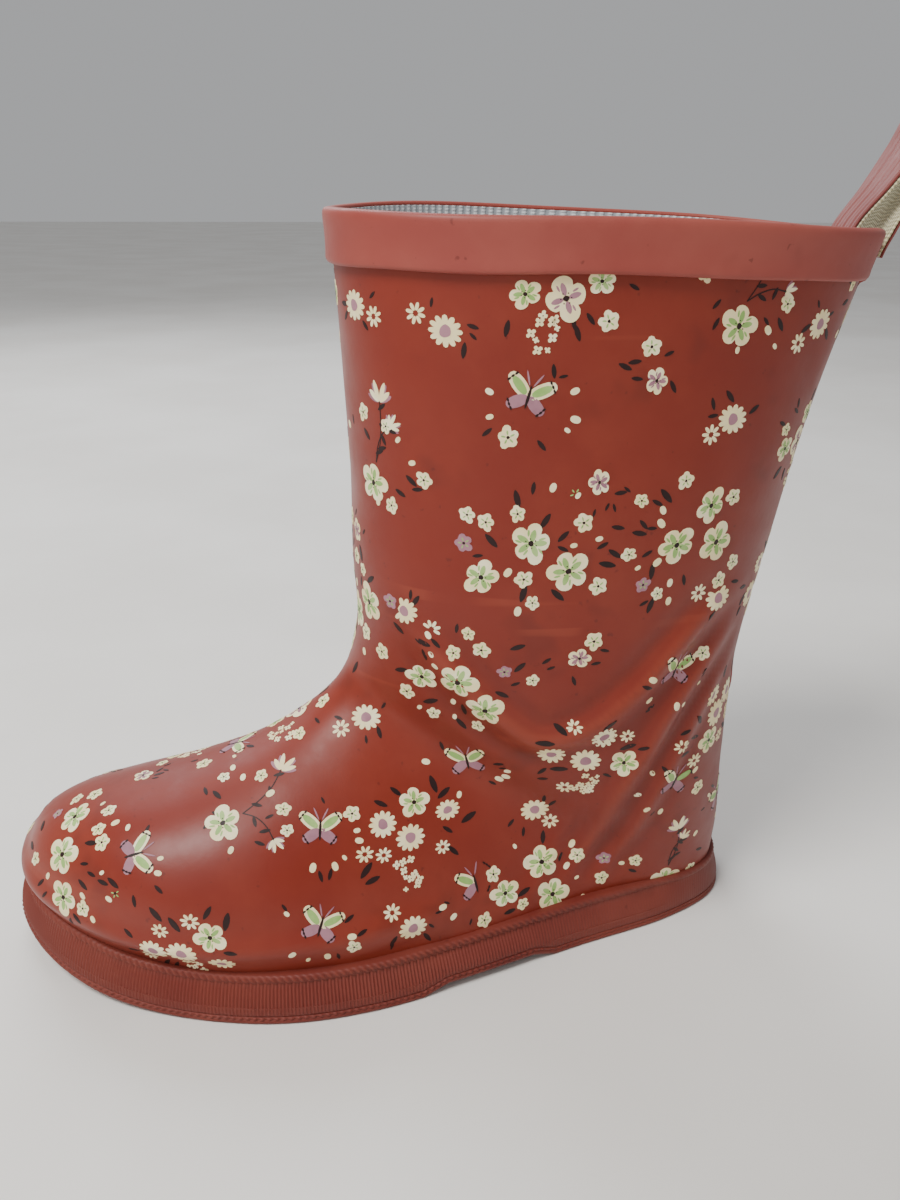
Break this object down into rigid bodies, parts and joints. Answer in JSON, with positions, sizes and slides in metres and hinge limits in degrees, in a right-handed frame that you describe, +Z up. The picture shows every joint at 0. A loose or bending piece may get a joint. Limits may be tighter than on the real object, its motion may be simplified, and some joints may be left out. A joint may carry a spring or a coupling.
{
  "type": "child's rubber rain boot",
  "caption": "Child's pull-on rubber rain boot for the left foot, hollow to the toe, with collar band, back strip, pull loop, foxing band, lugged sole and insole.",
  "frame": {"origin": "bottom centre of the boot's box, on the floor", "axes": "+X towards the toe, +Y towards the outer side of the left foot, +Z up"},
  "size_m": [0.2516, 0.0876, 0.2243],
  "materials": {
    "printed_rubber": "satin dusty brick red rubber with a small floral print, lightly scuffed",
    "band_rubber": "matte dusty red rubber, plain, with faint scuffs",
    "strap_rubber": "matte dusty red rubber with fine lengthwise wrinkles, backed with cream woven tape",
    "foxing_rubber": "matte dusty red rubber with fine ribs and a knurled edge",
    "sole_rubber": "matte dusty red moulded rubber, dusty on the tread",
    "lining_textile": "light grey knitted textile"
  },
  "bodies": {
    "root": {"upper": "printed_rubber", "collar_band": "band_rubber", "back_strip": "band_rubber", "pull_loop": "strap_rubber", "foxing_band": "foxing_rubber", "outsole": "sole_rubber", "insole": "lining_textile"}
  },
  "joints": []
}
